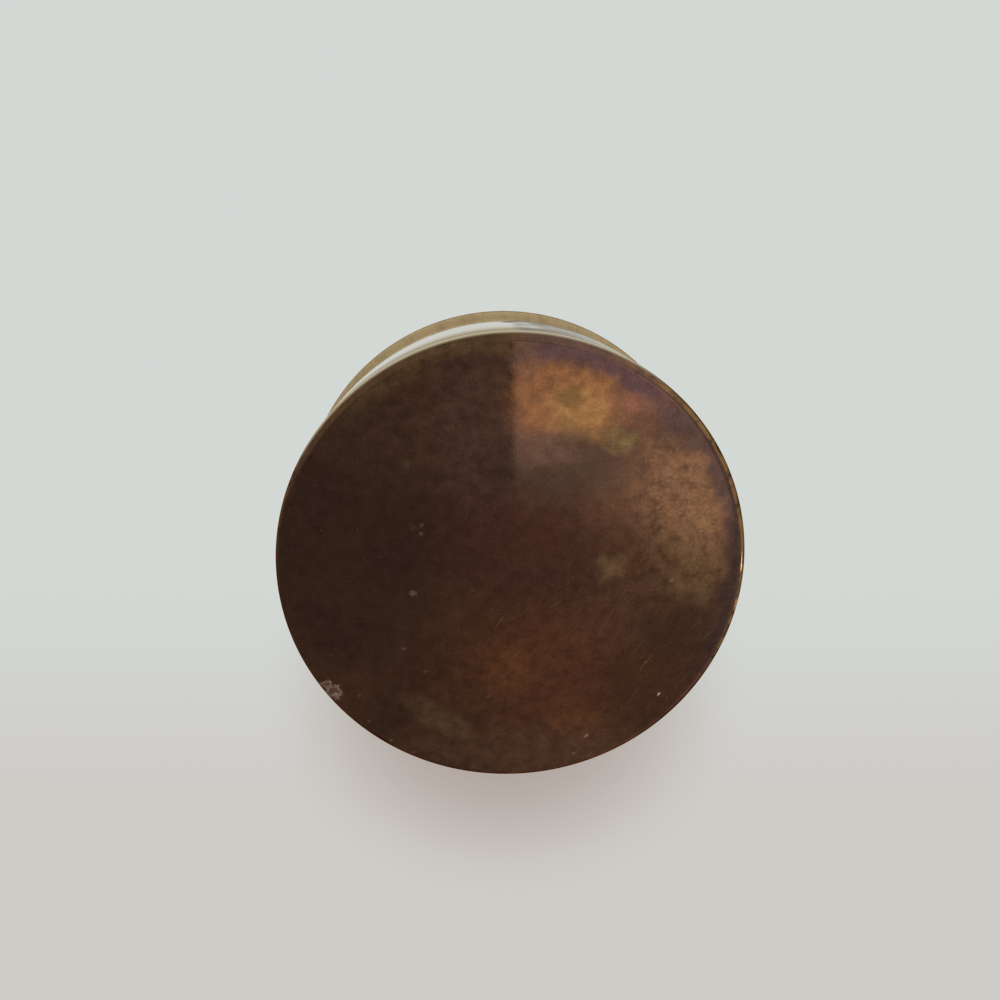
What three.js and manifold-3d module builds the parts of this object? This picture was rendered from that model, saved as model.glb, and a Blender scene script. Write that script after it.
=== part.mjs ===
// Round brass trinket box: a spun brass cup with a velvet lining, and a lift-off lid with a turned knob.
// Millimetres, +Z up. The origin is the middle of the flat bottom, on the surface the box stands on.

import * as THREE from "three";
import { mergeVertices } from "three/addons/utils/BufferGeometryUtils.js";
import Module from "manifold-3d";

// Driving dimensions: the cup.
const BODY_RADIUS = 30;
const BODY_HEIGHT = 27;
const SHEET = 0.9;
const BASE_CORNER = 1.2;
const EDGE_ROUND = 0.3;

// Driving dimensions: the lid.
const RIM_OVERHANG = 0.7;
const RIM_THICKNESS = 1.6;
const RIM_ROUND = 0.35;
const COVE_OUTER = 29.4;
const COVE_INNER = 28.4;
const COVE_RISE = 0.9;
const BEAD_RADIUS = 0.5;
const DOME_RISE = 3;
const DOME_STEPS = 6;
const REGISTER_DEPTH = 4.2;

// Driving dimensions: the knob and what holds it.
const ROSETTE_RADIUS = 5.2;
const ROSETTE_THICKNESS = 0.9;
const KNOB_HEIGHT = 4.8;
const KNOB_BALL_RADIUS = 2.8;
const KNOB_BALL_HEIGHT = 2.6;
const KNOB_FOOT_RADIUS = 2.5;
const KNOB_WAIST_RADIUS = 1.6;
const KNOB_WAIST_HEIGHT = 0.9;
const KNOB_BALL_START = -Math.PI / 6;
const SCREW_RADIUS = 1;
const SCREW_REACH = 3;
const SCREW_HEAD_RADIUS = 2;
const SCREW_HEAD_HEIGHT = 1.2;
const SCREW_SLOT_WIDTH = 0.5;
const SCREW_SLOT_DEPTH = 0.6;
const WASHER_RADIUS = 3.2;
const WASHER_THICKNESS = 0.5;

// Driving dimensions: the lining, velvet over card.
const LINING_THICKNESS = 0.9;
const PAD_THICKNESS = 1.8;
const PAD_CROWN = 0.5;
const PAD_EDGE = 0.6;
const LID_LINING_DROP = 1.2;
const LINING_HEADROOM = 1.2;

// Gaps between neighbours: at a face they rest on, round a shaft, and at the lining's edges.
const SEAT_GAP = 0.1;
const SHAFT_GAP = 0.15;
const LINING_GAP = 0.3;
const REGISTER_GAP = 0.4;

// Sides of a turned piece: the box itself, and its small hardware.
const BOX_SIDES = 64;
const HARDWARE_SIDES = 24;
const ARC_STEPS = 2;

// Points closer than this are one point, and a cutting tool runs this far past what it cuts.
const MERGE_DISTANCE = 1e-4;
const CUT_MARGIN = 1;

// Heights and radii that follow from the driving dimensions.
const INNER_RADIUS = BODY_RADIUS - SHEET;
const RIM_RADIUS = BODY_RADIUS + RIM_OVERHANG;
const LID_BOTTOM = BODY_HEIGHT + SEAT_GAP;
const COVE_TOP = RIM_THICKNESS + COVE_RISE;
const DOME_RADIUS = COVE_INNER - 2 * BEAD_RADIUS;
const DOME_TOP = COVE_TOP + DOME_RISE;
const REGISTER_RADIUS = INNER_RADIUS - REGISTER_GAP;
const REGISTER_INNER = REGISTER_RADIUS - SHEET;
const LINING_OUTER = INNER_RADIUS - LINING_GAP;
const LINING_INNER = LINING_OUTER - LINING_THICKNESS;
const LINING_BOTTOM = BASE_CORNER;
const LINING_TOP = BODY_HEIGHT - REGISTER_DEPTH - LINING_HEADROOM;
const SCREW_HOLE = SCREW_RADIUS + SHAFT_GAP;

const wasm = await Module();
wasm.setup();

function finish(color, roughness, metalness) {
  return new THREE.MeshStandardMaterial({ color, roughness, metalness });
}

const lacqueredBrass = finish("#c9a562", 0.18, 1);
const satinBrass = finish("#b39257", 0.4, 1);
const velvet = finish("#5a1622", 0.95, 0);

// Turns a profile about +Z: x is the radius and y the height. It runs up the outside and back down the inside.
function turned(profile, sides) {
  const points = profile.getPoints(ARC_STEPS);
  return new THREE.LatheGeometry(points, sides).rotateX(Math.PI / 2);
}

// A ring of rectangular section with its lower face at height 0.
function plainRing(inner, outer, height, sides) {
  const profile = new THREE.Path();
  profile.moveTo(inner, 0);
  profile.lineTo(outer, 0);
  profile.lineTo(outer, height);
  profile.lineTo(inner, height);
  profile.closePath();
  return turned(profile, sides);
}

function solidOf(geometry) {
  const bare = geometry.clone();
  bare.deleteAttribute("normal");
  bare.deleteAttribute("uv");
  const merged = mergeVertices(bare.index ? bare.toNonIndexed() : bare, MERGE_DISTANCE);
  const mesh = new wasm.Mesh({
    numProp: 3,
    vertProperties: new Float32Array(merged.attributes.position.array),
    triVerts: new Uint32Array(merged.index.array),
  });
  return new wasm.Manifold(mesh);
}

function cut(geometry, tool) {
  const { vertProperties, triVerts } = solidOf(geometry).subtract(solidOf(tool)).getMesh();
  const result = new THREE.BufferGeometry();
  result.setAttribute("position", new THREE.BufferAttribute(vertProperties, 3));
  result.setIndex(new THREE.BufferAttribute(triVerts, 1));
  return result;
}

function piece(name, geometry, material, height = 0) {
  const mesh = new THREE.Mesh(geometry, material);
  mesh.name = name;
  mesh.position.z = height;
  return mesh;
}

// The cup: flat bottom, rounded bottom edge, straight wall, softened mouth edge.
function bodyShell() {
  const bend = BODY_RADIUS - BASE_CORNER;
  const profile = new THREE.Path();
  profile.moveTo(0, 0);
  profile.lineTo(bend, 0);
  profile.absarc(bend, BASE_CORNER, BASE_CORNER, -Math.PI / 2, 0);
  profile.lineTo(BODY_RADIUS, BODY_HEIGHT - EDGE_ROUND);
  profile.lineTo(BODY_RADIUS - EDGE_ROUND, BODY_HEIGHT);
  profile.lineTo(INNER_RADIUS, BODY_HEIGHT);
  profile.lineTo(INNER_RADIUS, BASE_CORNER);
  profile.absarc(bend, BASE_CORNER, BASE_CORNER - SHEET, 0, -Math.PI / 2, true);
  profile.lineTo(0, SHEET);
  return turned(profile, BOX_SIDES);
}

// A padded disc, crowned in the middle and rounded over at its edge, with its flat side at height 0.
function paddedDisc(radius) {
  const rise = PAD_THICKNESS - PAD_CROWN;
  const profile = new THREE.Path();
  profile.moveTo(0, 0);
  profile.lineTo(radius, 0);
  profile.lineTo(radius, rise - PAD_EDGE);
  profile.absarc(radius - PAD_EDGE, rise - PAD_EDGE, PAD_EDGE, 0, Math.PI / 2);
  profile.quadraticCurveTo(radius / 2, PAD_THICKNESS, 0, PAD_THICKNESS);
  return turned(profile, BOX_SIDES);
}

// The lid: hemmed rim, hollow cove, round bead, and a low dome with a hole for the screw.
function lidShell() {
  const profile = new THREE.Path();
  profile.moveTo(REGISTER_INNER, 0);
  profile.lineTo(RIM_RADIUS - RIM_ROUND, 0);
  profile.absarc(RIM_RADIUS - RIM_ROUND, RIM_ROUND, RIM_ROUND, -Math.PI / 2, 0);
  profile.lineTo(RIM_RADIUS, RIM_THICKNESS - RIM_ROUND);
  profile.absarc(RIM_RADIUS - RIM_ROUND, RIM_THICKNESS - RIM_ROUND, RIM_ROUND, 0, Math.PI / 2);
  profile.lineTo(COVE_OUTER, RIM_THICKNESS);
  profile.quadraticCurveTo(COVE_INNER, RIM_THICKNESS, COVE_INNER, COVE_TOP);
  profile.absarc(COVE_INNER - BEAD_RADIUS, COVE_TOP, BEAD_RADIUS, 0, Math.PI);
  domeCurve(profile, DOME_RADIUS, COVE_TOP, SCREW_HOLE, DOME_TOP);
  profile.lineTo(SCREW_HOLE, DOME_TOP - SHEET);
  domeCurve(profile, SCREW_HOLE, DOME_TOP - SHEET, REGISTER_INNER, COVE_TOP - SHEET);
  profile.closePath();
  return turned(profile, BOX_SIDES);
}

// Carries a profile along a shallow parabola between two points, level at the end nearer the axis.
function domeCurve(profile, fromRadius, fromHeight, toRadius, toHeight) {
  const outer = Math.max(fromRadius, toRadius);
  const top = Math.max(fromHeight, toHeight);
  const drop = Math.abs(toHeight - fromHeight);
  for (let i = 1; i <= DOME_STEPS; i += 1) {
    const radius = THREE.MathUtils.lerp(fromRadius, toRadius, i / DOME_STEPS);
    profile.lineTo(radius, top - drop * (radius / outer) ** 2);
  }
}

function knobRosette() {
  const profile = new THREE.Path();
  profile.moveTo(SCREW_HOLE, 0);
  profile.lineTo(ROSETTE_RADIUS, 0);
  profile.quadraticCurveTo(ROSETTE_RADIUS, ROSETTE_THICKNESS, KNOB_FOOT_RADIUS, ROSETTE_THICKNESS);
  profile.lineTo(SCREW_HOLE, ROSETTE_THICKNESS);
  profile.closePath();
  return turned(profile, HARDWARE_SIDES);
}

// The knob: a spread foot, a waist and a flattened ball, with a blind hole for the screw.
function knobTurning() {
  const ballRise = KNOB_HEIGHT - KNOB_BALL_HEIGHT;
  const profile = new THREE.Path();
  profile.moveTo(SCREW_HOLE, 0);
  profile.lineTo(KNOB_FOOT_RADIUS, 0);
  profile.quadraticCurveTo(KNOB_WAIST_RADIUS, EDGE_ROUND, KNOB_WAIST_RADIUS, KNOB_WAIST_HEIGHT);
  profile.absellipse(0, KNOB_BALL_HEIGHT, KNOB_BALL_RADIUS, ballRise, KNOB_BALL_START, Math.PI / 2);
  profile.lineTo(0, SCREW_REACH + SHAFT_GAP);
  profile.lineTo(SCREW_HOLE, SCREW_REACH + SHAFT_GAP);
  profile.closePath();
  return turned(profile, HARDWARE_SIDES);
}

// The slotted screw, head down, with the underside of the head at height 0.
function knobScrew(length) {
  const profile = new THREE.Path();
  profile.moveTo(0, -SCREW_HEAD_HEIGHT);
  profile.quadraticCurveTo(SCREW_HEAD_RADIUS, -SCREW_HEAD_HEIGHT, SCREW_HEAD_RADIUS, -EDGE_ROUND);
  profile.lineTo(SCREW_HEAD_RADIUS, 0);
  profile.lineTo(SCREW_RADIUS, 0);
  profile.lineTo(SCREW_RADIUS, length);
  profile.lineTo(0, length);
  const slotLength = 2 * (SCREW_HEAD_RADIUS + CUT_MARGIN);
  const slot = new THREE.BoxGeometry(slotLength, SCREW_SLOT_WIDTH, SCREW_SLOT_DEPTH + CUT_MARGIN);
  slot.translate(0, 0, (SCREW_SLOT_DEPTH - CUT_MARGIN) / 2 - SCREW_HEAD_HEIGHT);
  return cut(turned(profile, HARDWARE_SIDES), slot);
}

// The body: everything that stays on the table.
const body = new THREE.Group();
body.add(
  piece("body_shell", bodyShell(), lacqueredBrass),
  piece("floor_pad", paddedDisc(LINING_INNER - LINING_GAP), velvet, SHEET + SEAT_GAP),
  piece(
    "wall_lining",
    plainRing(LINING_INNER, LINING_OUTER, LINING_TOP - LINING_BOTTOM, BOX_SIDES),
    velvet,
    LINING_BOTTOM,
  ),
);

// The lid: height 0 is the underside of its rim.
const lid = new THREE.Group();
lid.position.z = LID_BOTTOM;
const lidLining = paddedDisc(REGISTER_INNER - LINING_GAP).rotateX(Math.PI);
lid.add(
  piece("lid_shell", lidShell(), lacqueredBrass),
  piece(
    "register_ring",
    plainRing(REGISTER_INNER, REGISTER_RADIUS, REGISTER_DEPTH - SEAT_GAP, BOX_SIDES),
    satinBrass,
    -REGISTER_DEPTH,
  ),
  piece("lid_lining", lidLining, velvet, PAD_THICKNESS - LID_LINING_DROP),
);

// The knob: height 0 is the top of the dome.
const knob = new THREE.Group();
knob.position.z = DOME_TOP;
const washerHeight = -SHEET - SEAT_GAP - WASHER_THICKNESS;
const screwHeight = washerHeight - SEAT_GAP;
const knobHeight = 2 * SEAT_GAP + ROSETTE_THICKNESS;
knob.add(
  piece("knob_rosette", knobRosette(), lacqueredBrass, SEAT_GAP),
  piece("knob", knobTurning(), lacqueredBrass, knobHeight),
  piece(
    "knob_washer",
    plainRing(SCREW_HOLE, WASHER_RADIUS, WASHER_THICKNESS, HARDWARE_SIDES),
    satinBrass,
    washerHeight,
  ),
  piece("knob_screw", knobScrew(knobHeight + SCREW_REACH - screwHeight), satinBrass, screwHeight),
);
lid.add(knob);

const trinketBox = new THREE.Group();
trinketBox.add(body, lid);

export default trinketBox;
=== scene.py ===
"""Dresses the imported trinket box: a spun brass cup with a tarnished bottom, a velvet lining and a lid.

Sizes in the classes are millimetres in the frame's own axes: +Z up, the origin in the middle of the bottom.
The camera looks up at the bottom, so the floor is drawn only from above and a pale backdrop hangs over the
lid.
"""

import logging
import math
from dataclasses import dataclass, field, replace
from enum import Enum
from functools import cache
from typing import Any, Callable, ClassVar

import bmesh
import bpy
from mathutils import Matrix, Vector

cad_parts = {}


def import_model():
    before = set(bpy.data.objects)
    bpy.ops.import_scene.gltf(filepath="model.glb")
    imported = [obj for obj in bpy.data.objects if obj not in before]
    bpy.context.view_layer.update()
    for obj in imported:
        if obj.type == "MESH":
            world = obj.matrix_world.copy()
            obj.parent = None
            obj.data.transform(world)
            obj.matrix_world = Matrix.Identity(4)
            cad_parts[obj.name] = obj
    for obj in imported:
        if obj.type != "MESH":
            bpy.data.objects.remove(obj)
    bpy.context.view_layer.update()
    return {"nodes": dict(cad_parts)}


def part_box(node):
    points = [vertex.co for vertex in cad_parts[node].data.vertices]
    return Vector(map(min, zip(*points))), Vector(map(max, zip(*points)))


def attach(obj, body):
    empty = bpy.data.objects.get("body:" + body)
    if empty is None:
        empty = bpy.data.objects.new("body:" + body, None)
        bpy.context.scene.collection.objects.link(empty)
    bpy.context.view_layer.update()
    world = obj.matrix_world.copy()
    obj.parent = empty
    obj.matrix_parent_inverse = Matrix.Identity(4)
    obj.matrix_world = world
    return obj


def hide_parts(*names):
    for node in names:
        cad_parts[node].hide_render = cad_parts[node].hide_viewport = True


LOG = logging.getLogger("trinket_box")
MM = 0.001
# Depth of the fine relief on the metal.
RELIEF = 0.02 * MM
# Nearly all of a cloud lies between these two values of its range from 0 to 1.
CLOUD_LOW, CLOUD_HIGH = 0.3, 0.7
WHITE = "#ffffff"

Socket = bpy.types.NodeSocket
Colour = tuple[float, float, float, float]
Inputs = dict[str | int, Any]
Place = tuple[float, float, float]
Pair = tuple[float, float]


def linear(hex_code: str) -> Colour:
    """Turns an sRGB hex colour into linear RGBA.

    Args:
        hex_code: colour as "#rrggbb".

    Returns:
        The linear red, green, blue and an alpha of 1.
    """
    channels = (int(hex_code[i : i + 2], 16) / 255 for i in (1, 3, 5))
    red, green, blue = (c / 12.92 if c <= 0.04045 else ((c + 0.055) / 1.055) ** 2.4 for c in channels)
    return red, green, blue, 1.0


def add_node(
    tree: bpy.types.NodeTree,
    kind: str,
    inputs: Inputs | None = None,
    out: str | int = 0,
    **settings: Any,
) -> Socket | None:
    """Adds one node with its settings, its constant inputs and its incoming links.

    Args:
        tree: node tree that gets the node.
        kind: the node's type name.
        inputs: input name or number, to a socket that is linked in or a value that is set.
        out: name or number of the output that is wanted.
        settings: properties of the node itself.

    Returns:
        The wanted output, or None where the node has none.
    """
    node = tree.nodes.new(kind)
    for name, value in settings.items():
        setattr(node, name, value)
    for key, value in (inputs or {}).items():
        if isinstance(value, Socket):
            tree.links.new(value, node.inputs[key])
        else:
            node.inputs[key].default_value = value
    return node.outputs[out] if node.outputs else None


def empty_tree(owner: bpy.types.Material | bpy.types.World) -> bpy.types.NodeTree:
    """Gives a material or a world a node tree to fill.

    Args:
        owner: the material or the world.

    Returns:
        Its node tree, without the nodes that it starts with.
    """
    owner.use_nodes = True
    owner.node_tree.nodes.clear()
    return owner.node_tree


class Plane(Enum):
    """The plane that a stain is drawn in, by the axis that it ignores."""

    FLAT = 2
    UPRIGHT = 1


class Facing(Enum):
    """The way that a pad's crown faces."""

    UP = 1
    DOWN = -1


class Zone(Enum):
    """A part of a turned brass piece that wears its own finish."""

    OUTSIDE = 0
    UNDERSIDE = 1
    INSIDE = 2


class Ray(Enum):
    """A kind of light path, by the setting that lets it meet an object."""

    CAMERA = "visible_camera"
    DIFFUSE = "visible_diffuse"
    GLOSSY = "visible_glossy"
    SHADOW = "visible_shadow"
    TRANSMISSION = "visible_transmission"


class Measure(Enum):
    """What a pattern follows: an axis, the distance from the turning axis, a wandering one, or a cloud."""

    X = "x"
    Y = "y"
    Z = "z"
    RADIUS = "radius"
    WANDER = "wandering"
    CLOUD = "cloud"
    MOTTLE = "mottle"
    GRAIN = "grain"
    DUST = "dust"
    LINES = "lines"
    STREAKS = "streaks"


# Finishes


@dataclass(frozen=True)
class Fade:
    """A soft edge along a measure, in millimetres or in a cloud's range: 0 at the start and 1 at the end."""

    measure: Measure
    start: float
    end: float


@dataclass(frozen=True)
class Cloud:
    """An uneven cover of soft spots of one size in millimetres, with finer spots in them."""

    measure: Measure
    size: float
    detail: float = 4.0
    roughness: float = 0.5


@dataclass(frozen=True)
class Stain:
    """A patch of another colour: centre and radii in millimetres in its plane, turned by degrees."""

    centre: Pair
    radii: Pair
    tint: str
    strength: float = 1.0
    soft: float = 0.6
    turn: float = 0.0


@dataclass(frozen=True)
class Scratch:
    """A fine straight scratch between two points of the bottom, in millimetres."""

    SOFT: ClassVar[float] = 0.9
    start: Pair
    end: Pair
    tint: str = "#a8825f"
    strength: float = 0.35
    width: float = 0.08

    def stain(self) -> Stain:
        """Draws the scratch as a long thin stain.

        Returns:
            The stain, turned along the scratch.
        """
        run = Vector(self.end) - Vector(self.start)
        middle = (Vector(self.end) + Vector(self.start)) / 2
        radii = (run.length / 2, self.width)
        turn = math.degrees(math.atan2(run.y, run.x))
        return Stain((middle.x, middle.y), radii, self.tint, self.strength, self.SOFT, turn)


@dataclass
class Coat:
    """A finish while it is painted: its nodes, the measures that patterns follow, and the colour so far."""

    # Radius of a stain along the axis that it ignores, in millimetres.
    ENDLESS: ClassVar[float] = 1000.0
    tree: bpy.types.NodeTree
    mm: Socket
    measures: dict[Measure, Socket]
    colour: Socket | Colour

    def mask(self, *fades: Fade, strength: float = 1.0) -> Socket | float:
        """Finds the place where several fades meet.

        Args:
            fades: the fades, all of which have to hold.
            strength: the mask's value there.

        Returns:
            The product of the fades and the strength.
        """
        product: Socket | float = strength
        for fade in fades:
            edge = add_node(
                self.tree,
                "ShaderNodeMapRange",
                {0: self.measures[fade.measure], 1: fade.start, 2: fade.end},
                interpolation_type="SMOOTHSTEP",
            )
            product = add_node(self.tree, "ShaderNodeMath", {0: edge, 1: product}, operation="MULTIPLY")
        return product

    def spot(self, stain: Stain, place: Socket, plane: Plane = Plane.FLAT) -> Socket:
        """Finds the place of one stain.

        Args:
            stain: the stain to draw.
            place: coordinates in millimetres, bent or straight.
            plane: the plane that the stain's centre and radii are in.

        Returns:
            The mask, from 0 outside to the stain's strength inside.
        """
        centre, radii = list(stain.centre), list(stain.radii)
        centre.insert(plane.value, 0.0)
        radii.insert(plane.value, self.ENDLESS)
        turn = (0, 0, math.radians(stain.turn))
        local = add_node(
            self.tree,
            "ShaderNodeMapping",
            {"Vector": place, "Location": centre, "Rotation": turn, "Scale": radii},
            vector_type="TEXTURE",
        )
        away = add_node(self.tree, "ShaderNodeVectorMath", {0: local}, out="Value", operation="LENGTH")
        return add_node(
            self.tree,
            "ShaderNodeMapRange",
            {0: away, 1: 1 + stain.soft, 2: 1 - stain.soft, 4: stain.strength},
            interpolation_type="SMOOTHSTEP",
        )

    def bent(self, size: float, reach: float) -> Socket:
        """Makes coordinates that wander, so that an outline drawn in them is uneven.

        Args:
            size: width of the waves in millimetres.
            reach: how far they swing, in millimetres.

        Returns:
            The coordinates in millimetres.
        """
        waves = {"Vector": self.mm, "Scale": 1 / size, "Detail": 5.0}
        drift = add_node(self.tree, "ShaderNodeTexNoise", waves, out="Color")
        middle = (0.5, 0.5, 0.5)
        swing = add_node(self.tree, "ShaderNodeVectorMath", {0: drift, 1: middle}, operation="SUBTRACT")
        # The noise seldom leaves the middle half of its range, so a quarter of the factor is the reach.
        factor = (4 * reach,) * 3
        return add_node(
            self.tree, "ShaderNodeVectorMath", {0: swing, 1: factor, 2: self.mm}, operation="MULTIPLY_ADD"
        )

    def lay(self, tint: str, *masks: Socket | float) -> Socket | float:
        """Lays a tint over the colour so far.

        Args:
            tint: the tint as a hex value.
            masks: how much of it shows. Several masks are multiplied.

        Returns:
            The mask that it shows through.
        """
        shown: Socket | float = masks[0]
        for mask in masks[1:]:
            shown = add_node(self.tree, "ShaderNodeMath", {0: shown, 1: mask}, operation="MULTIPLY")
        layers = {0: shown, 6: self.colour, 7: linear(tint)}
        self.colour = add_node(self.tree, "ShaderNodeMix", layers, out=2, data_type="RGBA")
        return shown

    def wash(self, tint: str, *fades: Fade, strength: float = 1.0) -> None:
        """Lays a tint where several fades meet."""
        self.lay(tint, self.mask(*fades, strength=strength))


@dataclass(frozen=True)
class Finish:
    """What a surface is made of. Each kind of finish paints itself onto one principled shader."""

    CLOUDS: ClassVar[tuple[Cloud, ...]] = ()
    name: str

    @cache
    def material(self) -> bpy.types.Material:
        """Makes this finish a material, the first time that it is asked for.

        Returns:
            The material, the same one each time.
        """
        material = bpy.data.materials.new(self.name)
        coat = self.ground(empty_tree(material))
        surface = add_node(coat.tree, "ShaderNodeBsdfPrincipled", self.paint(coat))
        add_node(coat.tree, "ShaderNodeOutputMaterial", {"Surface": surface})
        return material

    def ground(self, tree: bpy.types.NodeTree) -> Coat:
        """Lays out the coordinates and the clouds that the patterns follow.

        Args:
            tree: the material's node tree.

        Returns:
            The coat, with no colour yet.
        """
        place = add_node(tree, "ShaderNodeTexCoord", out="Object")
        mm = add_node(tree, "ShaderNodeVectorMath", {0: place, "Scale": 1 / MM}, operation="SCALE")
        flat = add_node(tree, "ShaderNodeVectorMath", {0: mm, 1: (1, 1, 0)}, operation="MULTIPLY")
        radius = add_node(tree, "ShaderNodeVectorMath", {0: flat}, out="Value", operation="LENGTH")
        axes = add_node(tree, "ShaderNodeSeparateXYZ", {0: mm}).node
        measures = dict(zip((Measure.X, Measure.Y, Measure.Z), axes.outputs))
        measures[Measure.RADIUS] = radius
        for cloud in self.CLOUDS:
            measures[cloud.measure] = add_node(
                tree,
                "ShaderNodeTexNoise",
                {
                    "Vector": mm,
                    "Scale": 1 / cloud.size,
                    "Detail": cloud.detail,
                    "Roughness": cloud.roughness,
                },
            )
        return Coat(tree, mm, measures, linear("#000000"))

    def paint(self, coat: Coat) -> Inputs:
        """Adds the finish's own nodes.

        Args:
            coat: the coat to paint.

        Returns:
            The shader's inputs.
        """
        raise NotImplementedError


@dataclass(frozen=True)
class TarnishedBrass(Finish):
    """Spun brass under a brown oxide film: a dark mirror with cloudy orange, purple and olive patches."""

    CLOUDS: ClassVar[tuple[Cloud, ...]] = (
        Cloud(Measure.CLOUD, 9.0, 3.0),
        Cloud(Measure.MOTTLE, 1.7, 6.0, 0.6),
        Cloud(Measure.GRAIN, 0.3, 3.0),
        Cloud(Measure.DUST, 0.6, 1.0),
    )
    # The stretch of the rounded edge on the -Y side that is rubbed bare.
    TOP: ClassVar[tuple[Fade, ...]] = (Fade(Measure.X, 22.0, 12.0), Fade(Measure.Y, -12.0, -20.0))
    # Angle in degrees and strength of each set of hairlines, most of them along one diagonal.
    HAIRLINES: ClassVar[tuple[Pair, ...]] = ((-50, 0.28), (-68, 0.2), (-15, 0.14))
    # Length and width of a hairline in millimetres. Real ones are 0.02 mm wide, drawn wider to show.
    HAIRLINE_SIZE: ClassVar[Pair] = (4.0, 0.15)
    # Share by which the skin of about 2 mm and the fine grain are darker or lighter than the film.
    SHADES: ClassVar[tuple[tuple[Measure, float], ...]] = ((Measure.MOTTLE, 0.22), (Measure.GRAIN, 0.14))
    # Size of a crust's dark middle, and its height in times of the film's grain.
    CRUST_MIDDLE: ClassVar[float] = 0.6
    CRUST_HEIGHT: ClassVar[float] = 6.0

    dark: str = "#5a4136"
    light: str = "#6d4d3b"
    border: str = "#52403c"
    border_top: str = "#594345"
    olive: str = "#7a6043"
    thick: str = "#5d4632"
    thin: str = "#8a6a56"
    hollow: str = "#4a352a"
    crystal: str = "#b08a62"
    pinhole: str = "#33251e"
    hairline: str = "#b48c68"
    dust: str = "#a08a74"
    crust_middle: str = "#34281e"
    film: str = "#8c7d6c"
    bare: str = "#cbbc9c"
    rubbed: str = "#a37f4d"
    polish: Pair = (0.06, 0.12)
    crust_roughness: float = 0.75
    grain_relief: float = 0.12
    stains: tuple[Stain, ...] = ()
    scratches: tuple[Scratch, ...] = ()
    specks: tuple[Stain, ...] = ()
    crusts: tuple[Stain, ...] = ()
    # A pale spot on the rubbed right edge is a painted glint.
    painted_glint: Stain = Stain((29.3, 5.2), (0.3, 0.8), "#e8bd88", 0.9, 0.6, 10.0)

    def paint(self, coat: Coat) -> Inputs:
        """Paints the oxide film, its stains, scratches and specks, and the rubbed edge.

        Args:
            coat: the coat to paint.

        Returns:
            The shader's inputs.
        """
        tree, measures = coat.tree, coat.measures
        bent, frayed = coat.bent(size=2.6, reach=0.9), coat.bent(size=0.5, reach=0.2)
        flat = add_node(tree, "ShaderNodeVectorMath", {0: bent, 1: (1, 1, 0)}, operation="MULTIPLY")
        measures[Measure.WANDER] = add_node(
            tree, "ShaderNodeVectorMath", {0: flat}, out="Value", operation="LENGTH"
        )
        self.lay_film(coat, bent)
        self.lay_border(coat)
        self.lay_grain(coat)
        self.lay_marks(coat, frayed)
        crust = self.lay_crusts(coat)
        flat_angle = self.rub_edge(coat, frayed)

        smooth, dull = self.polish
        film = {0: measures[Measure.MOTTLE], 1: CLOUD_LOW, 2: CLOUD_HIGH, 3: smooth, 4: dull}
        polish = add_node(tree, "ShaderNodeMapRange", film)
        lumps = {0: crust, 1: self.CRUST_HEIGHT, 2: measures[Measure.GRAIN]}
        height = add_node(tree, "ShaderNodeMath", lumps, operation="MULTIPLY_ADD")
        relief = {"Strength": self.grain_relief, "Distance": RELIEF, "Height": height}
        surface = {0: crust, 2: polish, 3: self.crust_roughness}
        return {
            "Base Color": coat.colour,
            "Roughness": add_node(tree, "ShaderNodeMix", surface, data_type="FLOAT"),
            "Metallic": add_node(tree, "ShaderNodeMath", {0: 1.0, 1: crust}, operation="SUBTRACT"),
            "Specular Tint": flat_angle,
            "Normal": add_node(tree, "ShaderNodeBump", relief),
        }

    def lay_film(self, coat: Coat, bent: Socket) -> None:
        """Lays the film and its stains, which are blotchy inside uneven outlines.

        Args:
            coat: the coat to paint.
            bent: coordinates that wander.
        """
        coat.colour = linear(self.dark)
        coat.wash(self.light, Fade(Measure.CLOUD, 0.35, 0.7))
        thinner = {0: coat.measures[Measure.MOTTLE], 1: 0.32, 2: 0.62, 3: 0.6}
        blotch = add_node(coat.tree, "ShaderNodeMapRange", thinner)
        for stain in self.stains:
            coat.lay(stain.tint, coat.spot(stain, bent), blotch)

    def lay_border(self, coat: Coat) -> None:
        """Lays the border inside the edge: purple-brown on one side, wide at the top, and olive past it.

        Args:
            coat: the coat to paint.
        """
        coat.wash(
            self.border,
            Fade(Measure.WANDER, 26.8, 28.2),
            Fade(Measure.X, 6.0, 16.0),
            Fade(Measure.Y, 20.0, 6.0),
            Fade(Measure.Y, -24.0, -15.0),
            strength=0.85,
        )
        coat.wash(
            self.border_top,
            Fade(Measure.WANDER, 26.0, 27.6),
            Fade(Measure.X, -2.0, 6.0),
            Fade(Measure.X, 23.0, 16.0),
            Fade(Measure.Y, -10.0, -19.0),
            strength=0.9,
        )
        coat.wash(
            self.olive,
            Fade(Measure.WANDER, 26.6, 28.6),
            Fade(Measure.Y, -17.0, -24.0),
            Fade(Measure.X, 3.0, -3.0),
            Fade(Measure.MOTTLE, 0.2, 0.55),
        )
        # At the top the rounded edge keeps its film on one half and is rubbed thin on the other.
        rounded = (*self.TOP, Fade(Measure.RADIUS, 28.78, 28.97))
        coat.wash(self.thick, *rounded, Fade(Measure.X, 3.0, -3.0))
        coat.wash(self.thin, *rounded, Fade(Measure.X, -1.0, 6.0), strength=0.5)

    def lay_grain(self, coat: Coat) -> None:
        """Lays the skin and the fine grain over the film, and the coarser grain on its light side.

        Args:
            coat: the coat to paint.
        """
        for measure, share in self.SHADES:
            spread = {0: coat.measures[measure], 1: CLOUD_LOW, 2: CLOUD_HIGH, 3: 1 - share, 4: 1 + share}
            shade = add_node(coat.tree, "ShaderNodeMapRange", spread)
            shaded = {0: coat.colour, "Scale": shade}
            coat.colour = add_node(coat.tree, "ShaderNodeVectorMath", shaded, operation="SCALE")

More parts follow.
